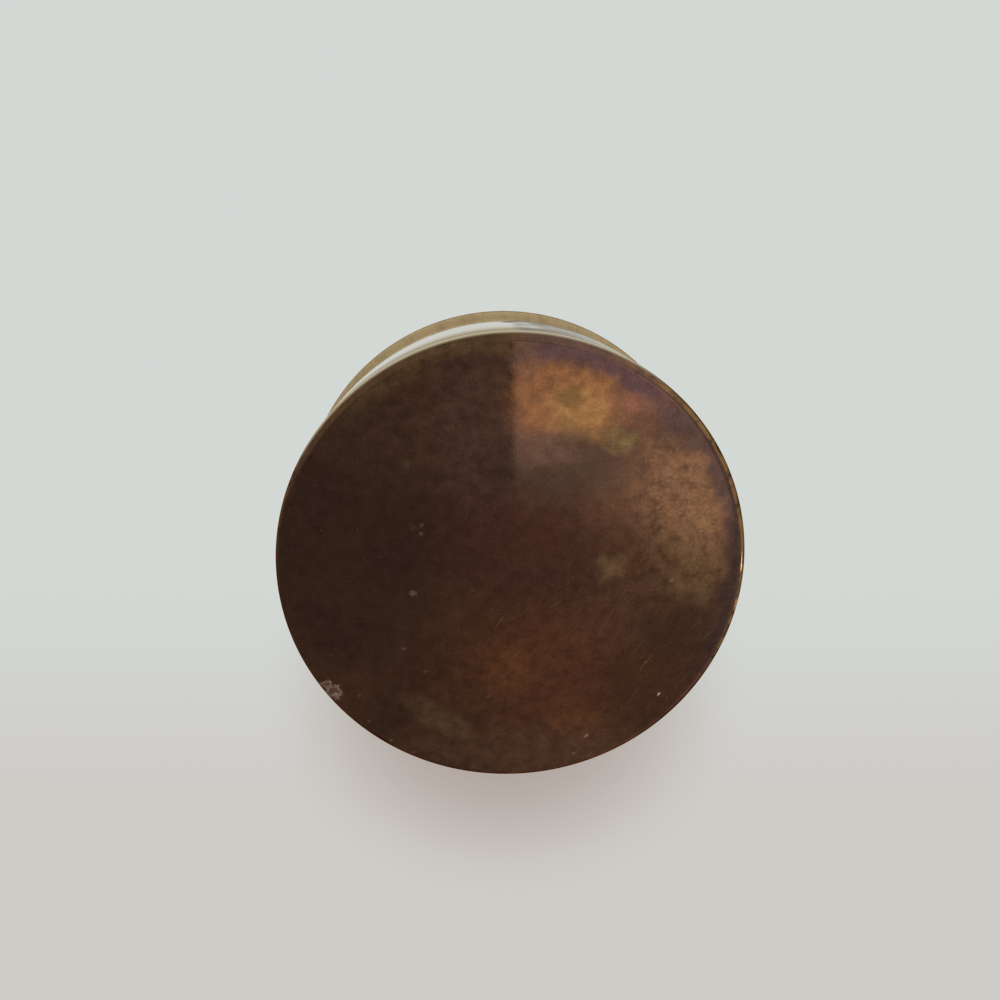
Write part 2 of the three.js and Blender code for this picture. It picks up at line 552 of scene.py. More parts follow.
        # The light side has pale crystals and dark pinholes of about half a millimetre.
        grainy = (
            Fade(Measure.X, 12.0, 19.0),
            Fade(Measure.Y, -20.0, -14.0),
            Fade(Measure.Y, 7.0, 0.0),
            Fade(Measure.WANDER, 27.4, 26.2),
        )
        coat.wash(self.hollow, *grainy, Fade(Measure.MOTTLE, 0.5, 0.36), strength=0.26)
        coat.wash(self.crystal, *grainy, Fade(Measure.DUST, 0.5, 0.7), strength=0.12)
        coat.wash(self.pinhole, *grainy, Fade(Measure.DUST, 0.34, 0.26), strength=0.3)

    def lay_marks(self, coat: Coat, frayed: Socket) -> None:
        """Draws the hairlines, the longer scratches, the dust and the specks.

        Args:
            coat: the coat to paint.
            frayed: coordinates that wander a little.
        """
        lit_side = (Fade(Measure.Y, -16.0, 8.0), Fade(Measure.X, -20.0, 0.0))
        for turn, strength in self.HAIRLINES:
            along = {
                "Vector": coat.mm,
                "Rotation": (0, 0, math.radians(turn)),
                "Scale": (*self.HAIRLINE_SIZE, 1.0),
            }
            turned = add_node(coat.tree, "ShaderNodeMapping", along, vector_type="TEXTURE")
            lines = {"Vector": turned, "Scale": 1.0, "Detail": 2.0}
            coat.measures[Measure.LINES] = add_node(coat.tree, "ShaderNodeTexNoise", lines)
            coat.wash(self.hairline, Fade(Measure.LINES, 0.63, 0.74), *lit_side, strength=strength)
        broken = coat.mask(Fade(Measure.GRAIN, 0.3, 0.55))
        for scratch in self.scratches:
            coat.lay(scratch.tint, coat.spot(scratch.stain(), coat.mm), broken)
        coat.wash(self.dust, Fade(Measure.DUST, 0.74, 0.8), strength=0.35)
        for speck in self.specks:
            coat.lay(speck.tint, coat.spot(speck, frayed))

    def lay_crusts(self, coat: Coat) -> Socket | float:
        """Lays crusts of old glue, dull and proud, with a pale ragged rim round a darker middle.

        Args:
            coat: the coat to paint.

        Returns:
            The mask of all the crusts.
        """
        ragged = coat.bent(size=0.9, reach=0.5)
        crumbled = coat.mask(Fade(Measure.GRAIN, 0.3, 0.5))
        crust: Socket | float = 0.0
        for lump in self.crusts:
            radii = (lump.radii[0] * self.CRUST_MIDDLE, lump.radii[1] * self.CRUST_MIDDLE)
            for layer in (lump, replace(lump, radii=radii, tint=self.crust_middle)):
                shown = coat.lay(layer.tint, coat.spot(layer, ragged), crumbled)
                crust = add_node(coat.tree, "ShaderNodeMath", {0: crust, 1: shown}, operation="MAXIMUM")
        return crust

    def rub_edge(self, coat: Coat, frayed: Socket) -> Socket | Colour:
        """Rubs the rounded edge bare at the top, and in narrow patchy bands on both sides, with a painted
        glint on the right.

        Args:
            coat: the coat to paint.
            frayed: coordinates that wander a little.

        Returns:
            The mirror's colour at a flat angle. The film keeps it dark there, and bare metal turns white.
        """
        flat_angle = replace(coat, colour=linear(self.film))
        bare = coat.mask(*self.TOP, Fade(Measure.Z, 0.32, 0.8))
        coat.lay(self.bare, bare)
        flat_angle.lay(WHITE, bare)

        patchy = Fade(Measure.MOTTLE, 0.32, 0.6)
        left = (Fade(Measure.X, -14.0, -22.0), Fade(Measure.Y, 6.0, -6.0), Fade(Measure.Z, 0.35, 0.6))
        coat.wash(self.rubbed, *left, patchy, strength=0.5)
        right = (Fade(Measure.X, 10.0, 18.0), Fade(Measure.Y, 18.0, 8.0))
        low = (Fade(Measure.Z, 0.04, 0.16), Fade(Measure.Z, 0.7, 0.5))
        coat.wash(self.rubbed, *right, *low, patchy, strength=0.75)
        # A painted glint: a pale spot on the rubbed right edge.
        coat.lay(self.painted_glint.tint, coat.spot(self.painted_glint, frayed))
        return flat_angle.colour


@dataclass(frozen=True)
class TurnedBrass(Finish):
    """Brass from the lathe: fine lines run round it, dirt stays in its hollows, and an outer edge can carry
    painted shade.
    """

    # Tint of the dark rings: dirt in hollows, and painted shade at an outer edge.
    DIRT_AND_SHADE: ClassVar[str] = "#5a3f22"
    brass: str
    tarnish: str
    dark_rings: tuple[Pair, ...] = ()

    def lay_dirt_and_shade(self, coat: Coat) -> None:
        """Lays dark rings, each given by its radius and half its width: dirt in hollows, painted shade at an
        outer edge.

        Args:
            coat: the coat to paint.
        """
        for ring, width in self.dark_rings:
            outside = Fade(Measure.RADIUS, ring - width, ring)
            inside = Fade(Measure.RADIUS, ring + width, ring)
            coat.wash(self.DIRT_AND_SHADE, outside, inside, Fade(Measure.MOTTLE, 0.1, 0.4), strength=0.75)

    def turning_lines(self, coat: Coat, per_mm: float, detail: float, depth: float) -> Socket:
        """Cuts the lines that the tool leaves round the piece.

        Args:
            coat: the coat to paint.
            per_mm: number of lines in a millimetre.
            detail: how many times finer lines are added between them.
            depth: share of the fine relief.

        Returns:
            The surface's normal.
        """
        across = {0: coat.measures[Measure.RADIUS], 1: coat.measures[Measure.Z]}
        section = add_node(coat.tree, "ShaderNodeCombineXYZ", across)
        cuts = {"Vector": section, "Scale": per_mm, "Detail": detail}
        lines = add_node(coat.tree, "ShaderNodeTexNoise", cuts)
        relief = {"Strength": depth, "Distance": RELIEF, "Height": lines}
        return add_node(coat.tree, "ShaderNodeBump", relief)


@dataclass(frozen=True)
class LacqueredBrass(TurnedBrass):
    """Polished brass under clear lacquer: a warm mirror, white at a flat angle, with faint turning lines."""

    CLOUDS: ClassVar[tuple[Cloud, ...]] = (Cloud(Measure.CLOUD, 7.0, 5.0), Cloud(Measure.MOTTLE, 1.4, 5.0))
    # Size of a streak in the painted dim reflection: along the wall both ways, and up it.
    STREAK: ClassVar[Place] = (5.0, 5.0, 0.8)
    brass: str = "#c9a562"
    tarnish: str = "#8f6c3c"
    tarnish_share: float = 0.35
    polish: Pair = (0.09, 0.17)
    lacquer_roughness: float = 0.04
    foot: str = "#e6dcb8"
    # Painted reflection on the wall's front: a dim grey reflection and dashes of reflected shadow, laid on
    # the mirror's colour at a flat angle.
    painted_dim_reflection: str = "#b4afa6"
    painted_shadow_dashes: tuple[Stain, ...] = ()

    def paint(self, coat: Coat) -> Inputs:
        """Paints polish, cloudy tarnish under the lacquer, dirt in the hollows and turning lines.

        Args:
            coat: the coat to paint.

        Returns:
            The shader's inputs.
        """
        coat.colour = linear(self.brass)
        cloudy = (Fade(Measure.CLOUD, 0.42, 0.7), Fade(Measure.MOTTLE, 0.3, 0.65))
        coat.wash(self.tarnish, *cloudy, strength=self.tarnish_share)
        self.lay_dirt_and_shade(coat)
        # Only the wall has the painted dim reflection and its dashes of reflected shadow.
        lacquer = self.wear_and_painted_reflection(coat) if self.painted_shadow_dashes else {"Coat Weight": 1.0}

        smooth, dull = self.polish
        metal = {0: coat.measures[Measure.MOTTLE], 1: CLOUD_LOW, 2: CLOUD_HIGH, 3: smooth, 4: dull}
        return {
            "Base Color": coat.colour,
            "Metallic": 1.0,
            "Roughness": add_node(coat.tree, "ShaderNodeMapRange", metal),
            "Coat Roughness": self.lacquer_roughness,
            # Real lines are 0.05 mm apart, and are drawn at 0.3 mm to show.
            "Normal": self.turning_lines(coat, per_mm=3.3, detail=3.0, depth=0.05),
            **lacquer,
        }

    def wear_and_painted_reflection(self, coat: Coat) -> Inputs:
        """Rubs the lacquer off the wall's foot and one stretch, and paints a dim reflection on the stretch.

        Args:
            coat: the coat to paint.

        Returns:
            The shader's inputs for what is left of the lacquer and for the mirror at a flat angle.
        """
        tree = coat.tree
        flat_angle = replace(coat, colour=linear(WHITE))
        foot = Fade(Measure.Z, 8.0, 1.0)
        coat.wash(self.tarnish, foot)
        flat_angle.wash(self.foot, foot)

        along = {"Vector": coat.mm, "Scale": self.STREAK}
        drawn = add_node(tree, "ShaderNodeMapping", along, vector_type="TEXTURE")
        streaks = {"Vector": drawn, "Scale": 1.0, "Detail": 4.0}
        coat.measures[Measure.STREAKS] = add_node(tree, "ShaderNodeTexNoise", streaks)
        ragged = coat.bent(size=1.6, reach=0.7)
        coat.measures[Measure.WANDER] = add_node(tree, "ShaderNodeSeparateXYZ", {0: ragged})
        # The grey stretch and the dark dashes are painted reflection of shade, with the lacquer taken off
        # under them.
        front = Fade(Measure.Y, -18.0, -24.0)
        painted_dim_reflection = coat.mask(
            front,
            Fade(Measure.WANDER, -0.2, 1.2),
            Fade(Measure.WANDER, 21.0, 8.0),
            Fade(Measure.Z, 23.0, 17.0),
            Fade(Measure.STREAKS, 0.34, 0.48),
            strength=0.9,
        )
        flat_angle.lay(self.painted_dim_reflection, painted_dim_reflection)
        on_front = coat.mask(front)
        for shadow_dash in self.painted_shadow_dashes:
            shadow_mark = flat_angle.lay(shadow_dash.tint, coat.spot(shadow_dash, coat.mm, Plane.UPRIGHT), on_front)
            painted_dim_reflection = add_node(tree, "ShaderNodeMath", {0: painted_dim_reflection, 1: shadow_mark}, operation="MAXIMUM")
        sound = add_node(tree, "ShaderNodeMath", {0: 1.0, 1: painted_dim_reflection}, operation="SUBTRACT")
        above_foot = coat.mask(Fade(Measure.Z, 3.0, 10.0))
        lacquer = add_node(tree, "ShaderNodeMath", {0: above_foot, 1: sound}, operation="MULTIPLY")
        return {"Coat Weight": lacquer, "Specular Tint": flat_angle.colour}


@dataclass(frozen=True)
class SatinBrass(TurnedBrass):
    """Brass left from the tool and dulled with age: a soft tan metal without a clear reflection."""

    CLOUDS: ClassVar[tuple[Cloud, ...]] = (Cloud(Measure.MOTTLE, 1.2, 6.0, 0.65),)
    brass: str = "#b8955c"
    tarnish: str = "#8a6a3e"
    # Share of bare metal. The film of oxide and dirt on it scatters the rest of the light.
    shine: float = 0.85
    dullness: Pair = (0.4, 0.55)

    def paint(self, coat: Coat) -> Inputs:
        """Paints the dull brass with its mottled tarnish and tool lines.

        Args:
            coat: the coat to paint.

        Returns:
            The shader's inputs.
        """
        coat.colour = linear(self.brass)
        coat.wash(self.tarnish, Fade(Measure.MOTTLE, 0.4, 0.75))
        self.lay_dirt_and_shade(coat)
        low, high = self.dullness
        metal = {0: coat.measures[Measure.MOTTLE], 1: CLOUD_LOW, 2: CLOUD_HIGH, 3: low, 4: high}
        return {
            "Base Color": coat.colour,
            "Metallic": self.shine,
            "Roughness": add_node(coat.tree, "ShaderNodeMapRange", metal),
            # Real lines are 0.05 mm apart, and are drawn at 0.25 mm to show.
            "Normal": self.turning_lines(coat, per_mm=4.0, detail=2.0, depth=0.15),
        }


@dataclass(frozen=True)
class Velvet(Finish):
    """Short-pile cotton velvet: deep and matt face on, with a painted pale sheen where the pile leans away.
    """

    # Patches where the pile leans are about 5 mm. The tufts, really 0.1 mm, are drawn at 0.35 mm to show.
    CLOUDS: ClassVar[tuple[Cloud, ...]] = (Cloud(Measure.CLOUD, 5.0, 3.0), Cloud(Measure.GRAIN, 0.35, 3.0))
    TUFT_HEIGHT: ClassVar[float] = 0.12
    pile: str = "#4a0f1c"
    leaning_pile_sheen: str = "#7c2236"
    sheen: str = "#c98a98"

    def paint(self, coat: Coat) -> Inputs:
        """Paints a pale sheen on leaning patches of pile and on the tips of the fibres.

        Args:
            coat: the coat to paint.

        Returns:
            The shader's inputs.
        """
        coat.colour = linear(self.pile)
        # Painted sheen: lighter where the pile leans and at the tips of the tufts.
        coat.wash(self.leaning_pile_sheen, Fade(Measure.CLOUD, 0.4, 0.68), Fade(Measure.GRAIN, 0.2, 0.7))
        tufts = coat.measures[Measure.GRAIN]
        relief = {"Strength": 0.6, "Distance": self.TUFT_HEIGHT * MM, "Height": tufts}
        return {
            "Base Color": coat.colour,
            "Roughness": 0.9,
            "Sheen Weight": 0.7,
            "Sheen Roughness": 0.35,
            "Sheen Tint": linear(self.sheen),
            "Normal": add_node(coat.tree, "ShaderNodeBump", relief),
        }


# Turning


@dataclass
class HalfSection:
    """Half section of a turned piece: corners as (radius, height), and the rounding of some by number."""

    # Distances in metres under which drawn points, and spun ones, are the same.
    SAME_POINT: ClassVar[float] = 1e-7
    SAME_VERTEX: ClassVar[float] = 1e-6
    ROUNDING_STEPS: ClassVar[int] = 8
    # Faces that meet at less than this many degrees are shaded as one round surface.
    SMOOTH_BELOW: ClassVar[float] = 32.0
    corners: list[Pair]
    rounded: dict[int, float] = field(default_factory=dict)
    closed: bool = False

    def turn(self, name: str, steps: int = 256, sweep: float = 2 * math.pi) -> bpy.types.Object:
        """Draws the section corner by corner, rounds it and spins it about +Z.

        Args:
            name: name of the piece.
            steps: number of sides.
            sweep: angle of the spin in radians. Less than a full turn leaves two ends, which are closed.

        Returns:
            The finished object, at the origin.
        """
        bpy.ops.object.select_all(action="DESELECT")
        bpy.ops.mesh.primitive_plane_add(size=MM)
        piece = bpy.context.object
        piece.name = piece.data.name = name
        bpy.ops.object.mode_set(mode="EDIT")
        bpy.ops.mesh.select_all(action="SELECT")
        bpy.ops.mesh.merge(type="CENTER")
        radius, height = self.corners[0]
        bpy.ops.transform.translate(value=(radius * MM, 0, height * MM))
        route = self.corners[1:] + (self.corners[:1] if self.closed else [])
        for next_radius, next_height in route:
            step = ((next_radius - radius) * MM, 0, (next_height - height) * MM)
            bpy.ops.mesh.extrude_region_move(TRANSFORM_OT_translate={"value": step})
            radius, height = next_radius, next_height
        bpy.ops.mesh.select_all(action="SELECT")
        bpy.ops.mesh.remove_doubles(threshold=self.SAME_POINT)
        for number, rounding in self.rounded.items():
            self.select_corner(piece, self.corners[number])
            bpy.ops.mesh.bevel(
                offset=rounding * MM, segments=self.ROUNDING_STEPS, affect="VERTICES", profile=0.5
            )
        bpy.ops.mesh.select_all(action="SELECT")
        bpy.ops.mesh.spin(steps=steps, angle=sweep, center=(0, 0, 0), axis=(0, 0, 1))
        bpy.ops.mesh.select_all(action="SELECT")
        bpy.ops.mesh.remove_doubles(threshold=self.SAME_VERTEX)
        bpy.ops.mesh.select_all(action="DESELECT")
        bpy.ops.mesh.select_non_manifold()
        bpy.ops.mesh.fill_holes(sides=0)
        bpy.ops.mesh.select_all(action="SELECT")
        bpy.ops.mesh.normals_make_consistent(inside=False)
        bpy.ops.object.mode_set(mode="OBJECT")
        bpy.ops.object.shade_smooth_by_angle(angle=math.radians(self.SMOOTH_BELOW))
        return piece

    def select_corner(self, piece: bpy.types.Object, corner: Pair) -> None:
        """Selects the one vertex of the drawn section that stands at a corner.

        Args:
            piece: the piece, in edit mode.
            corner: radius and height of the corner.
        """
        mesh = bmesh.from_edit_mesh(piece.data)
        for vert in mesh.verts:
            away = (vert.co.x - corner[0] * MM, vert.co.z - corner[1] * MM)
            vert.select = all(abs(part) < self.SAME_POINT for part in away)
        mesh.select_flush_mode()
        bmesh.update_edit_mesh(piece.data)


def ring_corners(inner: float, outer: float, low: float, high: float) -> list[Pair]:
    """Returns the four corners of a plain ring's section, from the low inner one round by the outer ones."""
    return [(inner, low), (outer, low), (outer, high), (inner, high)]


def cove_corners(start: Pair, end: Pair, steps: int = 8) -> list[Pair]:
    """Draws a cove, a hollow quarter round that starts level and ends upright.

    Args:
        start: radius and height of its outer end.
        end: radius and height of its inner end.
        steps: number of points.

    Returns:
        The corners after the start, with the end.
    """
    corners = []
    for i in range(1, steps + 1):
        angle = math.pi / 2 * i / steps
        radius = start[0] - (start[0] - end[0]) * math.sin(angle)
        corners.append((radius, start[1] + (end[1] - start[1]) * (1 - math.cos(angle))))
    return corners


def dress(
    piece: bpy.types.Object,
    finishes: dict[Zone, Finish],
    zone_of: Callable[[Vector, Vector], Zone] | None = None,
) -> None:
    """Gives a piece its finishes, face by face.

    Args:
        piece: the piece.
        finishes: finish of each zone.
        zone_of: zone of a face, from its centre in millimetres and its normal. Left out for one zone.
    """
    piece.data.materials.clear()
    numbers = {}
    for number, (zone, finish) in enumerate(finishes.items()):
        piece.data.materials.append(finish.material())
        numbers[zone] = number
    if zone_of is not None:
        for face in piece.data.polygons:
            face.material_index = numbers[zone_of(face.center / MM, face.normal)]


def mount(piece: bpy.types.Object, body: str, node: str) -> None:
    """Puts a finished piece in place of its node in the frame.

    Args:
        piece: the piece, already where the node is.
        body: body that it moves with.
        node: node that it stands for.
    """
    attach(piece, body)
    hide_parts(node)
    LOG.info("%s: %d faces, on %s", piece.name, len(piece.data.polygons), body)


# Sub-assemblies


@dataclass
class Cup:
    """The spun brass cup: flat tarnished bottom, rounded lower edge, polished wall and dull inside."""

    bottom: TarnishedBrass
    wall: LacqueredBrass
    inside: SatinBrass
    radius: float = 30.0
    height: float = 27.0
    sheet: float = 0.9
    corner: float = 1.2
    mouth_round: float = 0.3

    def build(self) -> None:
        """Turns the cup and dresses its outside, bottom and inside."""
        inner = self.radius - self.sheet
        corners = [
            (0, 0),
            (self.radius, 0),
            (self.radius, self.height),
            (inner, self.height),
            (inner, self.sheet),
            (0, self.sheet),
        ]
        rounded = {1: self.corner, 2: self.mouth_round, 3: self.mouth_round, 4: self.corner - self.sheet}
        piece = HalfSection(corners, rounded).turn("cup_shell")
        finishes = {Zone.OUTSIDE: self.wall, Zone.UNDERSIDE: self.bottom, Zone.INSIDE: self.inside}
        dress(piece, finishes, self.zone_of)
        mount(piece, "body", "body_shell")

    def zone_of(self, centre: Vector, normal: Vector) -> Zone:
        """Finds the zone of one face of the cup.

        Args:
            centre: the face's centre in millimetres.
            normal: the face's normal.

        Returns:
            The zone.
        """
        if centre.z < self.corner and normal.z < 0:
            return Zone.UNDERSIDE
        out = Vector((centre.x, centre.y)).length
        return Zone.OUTSIDE if out > self.radius - self.sheet / 2 else Zone.INSIDE


@dataclass
class Pad:
    """A round velvet pad: flat where it rests, rolled at the edge, crowned and slightly uneven."""

    RINGS: ClassVar[int] = 14
    SIDES: ClassVar[int] = 192
    # Rounding of the edge where the pad rests, and where the velvet rolls over it.
    EDGES: ClassVar[dict[int, float]] = {1: 0.15, 2: 0.6}
    # Width and height of the waves in the velvet, and the level of the noise that stays in place.
    WAVE_SIZE: ClassVar[float] = 7.0
    WAVE_HEIGHT: ClassVar[float] = 0.22
    WAVE_LEVEL: ClassVar[float] = 0.75
    # The waves lie past this share of the edge's height.
    WAVES_FROM: ClassVar[float] = 0.6
    radius: float
    thickness: float = 1.8
    crown: float = 0.5

    def build(self, name: str, seat: float, facing: Facing) -> bpy.types.Object:
        """Turns the pad and makes its face uneven.

        Args:
            name: name of the piece.
            seat: height of the flat side.
            facing: the way that the crown faces.

        Returns:
            The pad.
        """
        up = facing.value
        edge = self.thickness - self.crown
        corners = [(0.0, seat), (self.radius, seat), (self.radius, seat + up * edge)]
        for i in range(1, self.RINGS):
            part = 1 - i / self.RINGS
            corners.append((self.radius * part, seat + up * (edge + self.crown * (1 - part**2))))
        corners.append((0.0, seat + up * self.thickness))
        pad = HalfSection(corners, self.EDGES).turn(name, steps=self.SIDES)
        self.make_uneven(pad, seat + up * edge * self.WAVES_FROM, up)
        return pad

    def make_uneven(self, pad: bpy.types.Object, start: float, up: int) -> None:
        """Lets the velvet sink a little in soft waves.

        Args:
            pad: the turned pad, which is the active object.
            start: height past which the velvet sinks.
            up: 1 where the crown faces up, and -1 where it faces down.
        """
        face = pad.vertex_groups.new(name="face")
        chosen = [vert.index for vert in pad.data.vertices if (vert.co.z / MM - start) * up > 0]
        face.add(chosen, 1.0, "REPLACE")
        cloud = bpy.data.textures.new(pad.name + "_unevenness", "CLOUDS")
        cloud.noise_scale = self.WAVE_SIZE * MM
        wave = pad.modifiers.new("unevenness", "DISPLACE")
        wave.texture = cloud
        wave.texture_coords = "LOCAL"
        wave.direction = "Z"
        wave.mid_level = self.WAVE_LEVEL
        wave.strength = self.WAVE_HEIGHT * MM * up
        wave.vertex_group = face.name
        bpy.ops.object.modifier_apply(modifier=wave.name)
        pad.vertex_groups.clear()


@dataclass
class Lining:
    """Velvet over card inside the cup: a crowned pad on the floor and a strip round the wall."""

    velvet: Velvet
    floor: Pad = field(default_factory=lambda: Pad(27.6))
    strip_inner: float = 27.9
    strip_thickness: float = 0.9
    strip_round: float = 0.35
    seam_gap: float = 0.25

    def build(self) -> None:
        """Makes the floor pad and the wall strip."""
        low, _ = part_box("floor_pad")
        pad = self.floor.build("floor_velvet", low.z / MM, Facing.UP)
        dress(pad, {Zone.OUTSIDE: self.velvet})
        mount(pad, "body", "floor_pad")

        low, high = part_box("wall_lining")
        outer = self.strip_inner + self.strip_thickness
        corners = ring_corners(self.strip_inner, outer, low.z / MM, high.z / MM)
        section = HalfSection(corners, dict.fromkeys(range(4), self.strip_round), closed=True)
        # The strip's two ends meet in a butt seam at the back.
        gap = self.seam_gap / self.strip_inner
        strip = section.turn("wall_velvet", sweep=2 * math.pi - gap)
        bpy.ops.object.mode_set(mode="EDIT")
        bpy.ops.mesh.select_all(action="SELECT")
        seam = math.radians(-90) - gap / 2
        bpy.ops.transform.rotate(value=seam, orient_axis="Z", center_override=(0, 0, 0))
        bpy.ops.object.mode_set(mode="OBJECT")
        dress(strip, {Zone.OUTSIDE: self.velvet})
        mount(strip, "body", "wall_lining")


@dataclass
class Lid:
    """The spun lid: overhanging rim, cove, bead and low dome, with a register ring and velvet below."""

    BEAD_STEPS: ClassVar[int] = 12
    DOME_STEPS: ClassVar[int] = 24
    # A face that looks down by more than this part of its normal is on the underside.
    DOWNWARD: ClassVar[float] = -0.05
    top: LacqueredBrass
    rim: SatinBrass
    under: SatinBrass
    velvet: Velvet
    rim_radius: float = 30.7
    rim_thickness: float = 1.6
    rim_round: float = 0.35
    cove_outer: float = 29.4
    cove_inner: float = 28.4
    cove_rise: float = 0.9
    bead: float = 0.5
    dome_rise: float = 3.0
    hole: float = 1.15
    sheet: float = 0.9
    ring_inner: float = 27.8
    ring_outer: float = 28.7
    ring_round: float = 0.25
    lining: Pad = field(default_factory=lambda: Pad(27.5))

    def build(self) -> None:
        """Makes the shell, the register ring and the lining."""
        low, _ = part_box("lid_shell")
        shell = self.section(low.z / MM).turn("lid_shell_spun")
        dress(shell, {Zone.OUTSIDE: self.top, Zone.UNDERSIDE: self.rim}, self.zone_of)
        mount(shell, "lid", "lid_shell")

        low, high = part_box("register_ring")
        corners = ring_corners(self.ring_inner, self.ring_outer, low.z / MM, high.z / MM)
        rounded = {0: self.ring_round, 1: self.ring_round}
        ring = HalfSection(corners, rounded, closed=True).turn("register_ring_turned")
        dress(ring, {Zone.OUTSIDE: self.under})
        mount(ring, "lid", "register_ring")

        _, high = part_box("lid_lining")
        pad = self.lining.build("lid_velvet", high.z / MM, Facing.DOWN)
        dress(pad, {Zone.OUTSIDE: self.velvet})
        mount(pad, "lid", "lid_lining")

    def section(self, floor: float) -> HalfSection:
        """Draws the lid's half section, from the rim over the cove, the bead and the dome and back inside.

        Args:
            floor: height of the underside of the rim.

        Returns:
            The section.
        """
        rim_top = floor + self.rim_thickness
        cove_top = rim_top + self.cove_rise
        dome_top = cove_top + self.dome_rise
        corners = [
            (self.ring_inner, floor),
            (self.rim_radius, floor),
            (self.rim_radius, rim_top),
            (self.cove_outer, rim_top),
            *cove_corners((self.cove_outer, rim_top), (self.cove_inner, cove_top)),
        ]
        for i in range(1, self.BEAD_STEPS + 1):
            angle = math.pi * i / self.BEAD_STEPS
            radius = self.cove_inner - self.bead + self.bead * math.cos(angle)
            corners.append((radius, cove_top + self.bead * math.sin(angle)))
        edge = self.cove_inner - 2 * self.bead
        for i in range(1, self.DOME_STEPS + 1):
            radius = edge + (self.hole - edge) * i / self.DOME_STEPS
            corners.append((radius, dome_top - self.dome_rise * (radius / edge) ** 2))
        for i in range(self.DOME_STEPS + 1):
            radius = self.hole + (self.ring_inner - self.hole) * i / self.DOME_STEPS
            fall = self.dome_rise * (radius / self.ring_inner) ** 2
            corners.append((radius, dome_top - self.sheet - fall))
        return HalfSection(corners, {1: self.rim_round, 2: self.rim_round}, closed=True)

    def zone_of(self, centre: Vector, normal: Vector) -> Zone:
        """Returns the zone of one face of the lid."""
        return Zone.UNDERSIDE if normal.z < self.DOWNWARD else Zone.OUTSIDE


@dataclass
class Knob:
    """The turned knob on its rosette. Its screw and washer, inside the lid, keep the frame's own shape."""

    SIDES: ClassVar[int] = 128
    ROSETTE_STEPS: ClassVar[int] = 12
    BALL_STEPS: ClassVar[int] = 24
    # The ball starts this far under its widest line, where it meets the waist.
    BALL_START: ClassVar[float] = -math.pi / 6
    brass: LacqueredBrass
    hardware: SatinBrass
    rosette_radius: float = 5.2
    rosette_thickness: float = 0.9
    rosette_lip: float = 0.3
    rosette_step: float = 0.25
    rosette_flat: float = 0.1
    rosette_round: float = 0.1
    height: float = 4.8
    ball_radius: float = 2.8
    ball_height: float = 2.6
    foot_radius: float = 2.5
    foot_height: float = 0.35
    foot_round: float = 0.12
    waist_radius: float = 1.6
    waist_height: float = 0.9
    hole: float = 1.15
    screw_reach: float = 3.15

    def build(self, nodes: dict[str, bpy.types.Object]) -> None:
        """Turns the rosette and the knob, and finishes the screw and the washer.

        Args:
            nodes: the frame's nodes by name.
        """
        section = self.rosette_section(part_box("knob_rosette")[0].z / MM)
        rosette = section.turn("rosette_turned", steps=self.SIDES)
        dress(rosette, {Zone.OUTSIDE: self.brass})
        mount(rosette, "lid", "knob_rosette")

        section = self.knob_section(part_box("knob")[0].z / MM)
        knob = section.turn("knob_turned", steps=self.SIDES)
        dress(knob, {Zone.OUTSIDE: self.brass})
        mount(knob, "lid", "knob")

        for name in ("knob_screw", "knob_washer"):
            dress(nodes[name], {Zone.OUTSIDE: self.hardware})
            LOG.info("%s: the frame's own shape", name)

    def rosette_section(self, seat: float) -> HalfSection:
        """Draws the rosette's half section: a lip, a low swell and a flat for the knob's foot.

        Args:
            seat: height that it rests at.

        Returns:
            The section.
        """
        lip = seat + self.rosette_lip
        start = self.rosette_radius - self.rosette_step
        end = self.foot_radius + self.rosette_flat
        corners = [(self.hole, seat), (self.rosette_radius, seat), (self.rosette_radius, lip)]
        for i in range(1, self.ROSETTE_STEPS + 1):
            part = i / self.ROSETTE_STEPS
            swell = (self.rosette_thickness - self.rosette_lip) * math.sin(part * math.pi / 2)
            corners.append((start + (end - start) * part, lip + swell))
        corners.append((self.hole, seat + self.rosette_thickness))
        return HalfSection(corners, {1: self.rosette_round, 2: self.rosette_round}, closed=True)

    def knob_section(self, seat: float) -> HalfSection:
        """Draws the knob's half section: the screw's hole, the foot, a waist and the ball.

        Args:
            seat: height that the foot rests at.

        Returns:
            The section.
        """
        hole_top, foot_top = seat + self.screw_reach, seat + self.foot_height
        corners = [
            (0, hole_top),
            (self.hole, hole_top),
            (self.hole, seat),
            (self.foot_radius, seat),
            (self.foot_radius, foot_top),
            *cove_corners((self.foot_radius, foot_top), (self.waist_radius, seat + self.waist_height)),
        ]
        rise = self.height - self.ball_height
        for i in range(self.BALL_STEPS + 1):
            angle = self.BALL_START + (math.pi / 2 - self.BALL_START) * i / self.BALL_STEPS
            height = seat + self.ball_height + rise * math.sin(angle)
            corners.append((self.ball_radius * math.cos(angle), height))
        return HalfSection(corners, {3: self.foot_round, 4: self.foot_round})


# Studio


@dataclass(frozen=True)
class Lamp:
    """A soft area lamp that the camera doesn't see, in millimetres and watts."""

    name: str
    place: Place
    size: Pair
    watts: float
    mirrored: bool = True
    aim: Place = (0, 0, 15)

    def hang(self) -> None:
        """Adds the lamp to the scene and turns it to the point that it shines at."""
        data = bpy.data.lights.new(self.name, "AREA")
        data.shape = "RECTANGLE"
        data.size, data.size_y = self.size[0] * MM, self.size[1] * MM
        data.energy = self.watts
        lamp = bpy.data.objects.new(self.name, data)
        lamp.location = Vector(self.place) * MM
        lamp.rotation_mode = "QUATERNION"
        lamp.rotation_quaternion = (Vector(self.aim) - Vector(self.place)).to_track_quat("-Z", "Y")
        lamp.visible_camera = False
        lamp.visible_glossy = self.mirrored
        bpy.context.scene.collection.objects.link(lamp)


